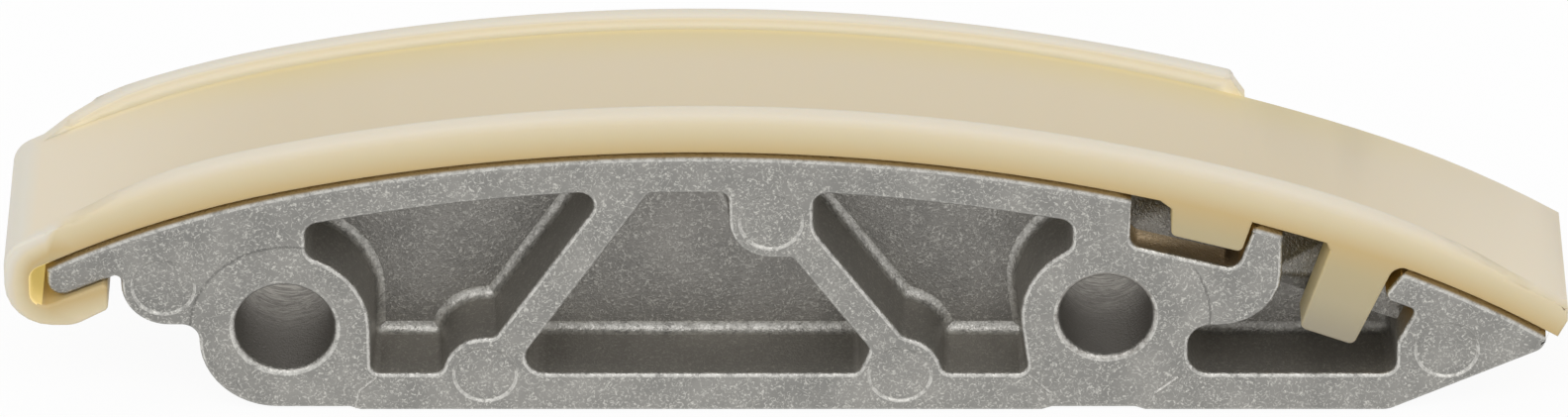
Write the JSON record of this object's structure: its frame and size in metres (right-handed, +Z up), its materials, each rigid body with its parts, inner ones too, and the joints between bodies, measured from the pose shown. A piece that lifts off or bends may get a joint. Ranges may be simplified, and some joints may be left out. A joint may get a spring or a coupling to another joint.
{
  "type": "timing chain guide",
  "caption": "Bowed timing chain guide: a die-cast truss carrier with two mounting bores and a hooked and clipped cream slide shoe with guide lips.",
  "frame": {"origin": "on the axis of the left mounting bore, midway through the casting", "axes": "+X along the guide towards the clip end, +Y along the bores towards the back, +Z up from the base towards the chain"},
  "size_m": [0.1336, 0.0176, 0.0302],
  "materials": {
    "carrier": "as cast, fine grain",
    "slide_shoe": "satin moulded polyamide"
  },
  "bodies": {
    "root": {"carrier": "carrier", "slide_shoe": "slide_shoe"}
  },
  "joints": []
}
